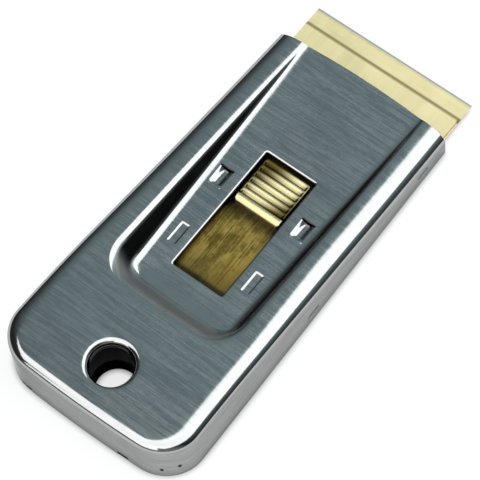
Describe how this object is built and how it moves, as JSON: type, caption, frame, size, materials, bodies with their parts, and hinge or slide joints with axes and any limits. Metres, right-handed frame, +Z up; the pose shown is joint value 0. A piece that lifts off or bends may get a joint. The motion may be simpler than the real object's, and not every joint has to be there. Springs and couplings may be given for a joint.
{
  "type": "razor blade scraper",
  "caption": "Pocket scraper with a wedge-shaped pressed steel body, a hang hole and a sunk panel whose window shows the brass slide that carries a single-edge blade.",
  "frame": {"origin": "middle of the bounding box at the underside of the base, with the blade pushed out", "axes": "+X across the blade, +Y out of the mouth towards the cutting edge, +Z up from the base"},
  "size_m": [0.0442, 0.0996, 0.0127],
  "materials": {
    "cover_steel": "brushed across the body",
    "base_steel": "plain rolled sheet",
    "slide_brass": "rolled, with lengthwise streaks",
    "pad_brass": "polished ribs",
    "clip_brass": "rolled",
    "rivet_brass": "plain",
    "blade": "pale brass-toned with a ground steel edge",
    "spine_steel": "plain rolled sheet"
  },
  "bodies": {
    "housing": {"top_cover": "cover_steel", "base_plate": "base_steel"},
    "carriage": {"slide_plate": "slide_brass", "thumb_pad": "pad_brass", "blade_clip": "clip_brass", "clip_rivets": "rivet_brass", "razor_blade": "blade", "blade_spine": "spine_steel"}
  },
  "joints": [
    {"name": "blade_slide", "type": "slide", "parent": "housing", "child": "carriage", "axis": [0, 1, 0], "range_m": [-0.0143, 0]}
  ]
}
